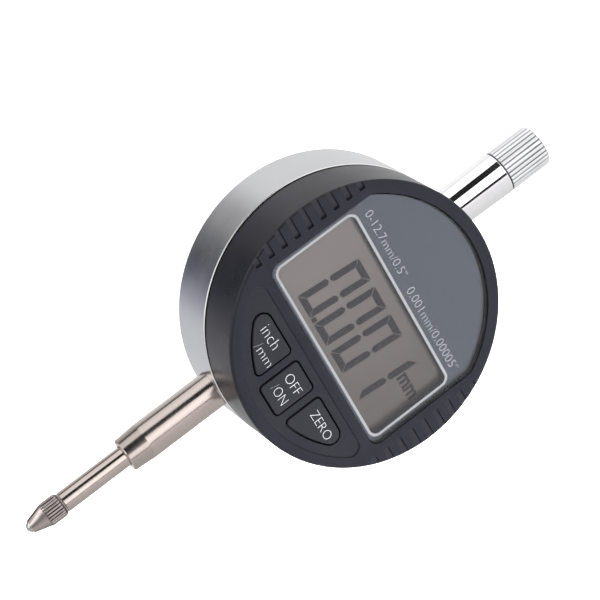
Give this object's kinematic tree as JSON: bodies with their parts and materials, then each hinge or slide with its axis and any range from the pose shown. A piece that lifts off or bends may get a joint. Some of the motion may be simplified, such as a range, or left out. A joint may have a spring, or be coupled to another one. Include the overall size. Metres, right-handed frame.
{
  "type": "digital dial indicator",
  "caption": "Round digital plunger indicator: metal case with clamping stem, sprung spindle and lifting knob, and a turning display unit with window, press buttons and battery drawer.",
  "frame": {"origin": "centre of the back cover's flat outer face", "axes": "+Z out of the display face, +Y along the spindle towards the lifting knob, +X to the display's right"},
  "size_m": [0.0604, 0.1323, 0.0255],
  "materials": {
    "case_steel": "satin turned steel",
    "stem_steel": "ground nickel-coloured steel",
    "chrome_plate": "bright chrome",
    "ball_carbide": "polished carbide",
    "fastener_steel": "zinc-plated",
    "spring_steel": "spring wire",
    "bush_bronze": "machined",
    "chassis_aluminium": "milled",
    "dark_plastic": "fine satin moulding",
    "button_plastic": "fine satin moulding",
    "lens_clear": "clear acrylic",
    "window_grey": "smooth grey",
    "display_glass": "warm grey liquid-crystal panel",
    "holder_plastic": "moulded",
    "board_green": "solder mask",
    "chip_black": "moulded package",
    "flex_amber": "polyimide film",
    "seal_rubber": "matt",
    "keypad_silicone": "matt",
    "cell_steel": "nickel-plated can"
  },
  "bodies": {
    "case": {"case_body": "case_steel", "back_cover": "case_steel", "back_gasket": "seal_rubber", "back_screw_1": "fastener_steel", "back_screw_2": "fastener_steel", "back_screw_3": "fastener_steel", "back_screw_4": "fastener_steel", "stem": "stem_steel", "lower_bush": "bush_bronze", "wiper_seal": "seal_rubber", "top_sleeve": "chrome_plate", "upper_bush": "bush_bronze", "return_spring": "spring_steel", "snap_ring": "spring_steel", "stop_pin": "fastener_steel", "chassis_plate": "chassis_aluminium", "chassis_screw_1": "fastener_steel", "chassis_screw_2": "fastener_steel", "guide_rail": "stem_steel", "rail_screw_1": "fastener_steel", "rail_screw_2": "fastener_steel", "sensor_board": "board_green", "sensor_screw_1": "fastener_steel", "sensor_screw_2": "fastener_steel", "flex_tail": "flex_amber"},
    "spindle": {"spindle_rod": "stem_steel", "contact_holder": "stem_steel", "contact_ball": "ball_carbide", "carriage": "chassis_aluminium", "carriage_screw": "fastener_steel", "guide_pin": "stem_steel", "scale_strip": "board_green", "lifting_knob": "chrome_plate", "knob_ring": "seal_rubber"},
    "display": {"front_housing": "dark_plastic", "display_base": "dark_plastic", "base_screw_1": "fastener_steel", "base_screw_2": "fastener_steel", "base_screw_3": "fastener_steel", "lens": "lens_clear", "window_plate": "window_grey", "lcd_panel": "display_glass", "lcd_holder": "holder_plastic", "zebra_strip_1": "keypad_silicone", "zebra_strip_2": "keypad_silicone", "main_board": "board_green", "pcb_screw_1": "fastener_steel", "pcb_screw_2": "fastener_steel", "controller_chip": "chip_black", "keypad_membrane": "keypad_silicone", "dome_switch_1": "spring_steel", "dome_switch_2": "spring_steel", "dome_switch_3": "spring_steel", "flex_coil": "flex_amber", "battery_contact": "bush_bronze"},
    "battery_drawer": {"battery_tray": "dark_plastic", "battery": "cell_steel"},
    "button_left": {"button_inch_mm": "button_plastic"},
    "button_middle": {"button_off_on": "button_plastic"},
    "button_right": {"button_zero": "button_plastic"}
  },
  "joints": [
    {"name": "spindle_travel", "type": "slide", "parent": "case", "child": "spindle", "axis": [0, 1, 0], "range_m": [0, 0.0127], "stiffness_N_per_m": 47, "springref_m": -0.0127, "deforming": ["return_spring"]},
    {"name": "display_turn", "type": "hinge", "parent": "case", "child": "display", "pos_m": [0, 0, 0.0131], "axis": [0, 0, 1], "range_deg": [-135, 135]},
    {"name": "battery_drawer_slide", "type": "slide", "parent": "display", "child": "battery_drawer", "axis": [0.866, 0.5, 0], "range_m": [0, 0.022]},
    {"name": "press_inch_mm", "type": "slide", "parent": "display", "child": "button_left", "axis": [0, 0, -1], "range_m": [0, 0.0005], "stiffness_N_per_m": 600, "springref_m": -0.001},
    {"name": "press_off_on", "type": "slide", "parent": "display", "child": "button_middle", "axis": [0, 0, -1], "range_m": [0, 0.0005], "stiffness_N_per_m": 600, "springref_m": -0.001},
    {"name": "press_zero", "type": "slide", "parent": "display", "child": "button_right", "axis": [0, 0, -1], "range_m": [0, 0.0005], "stiffness_N_per_m": 600, "springref_m": -0.001}
  ]
}
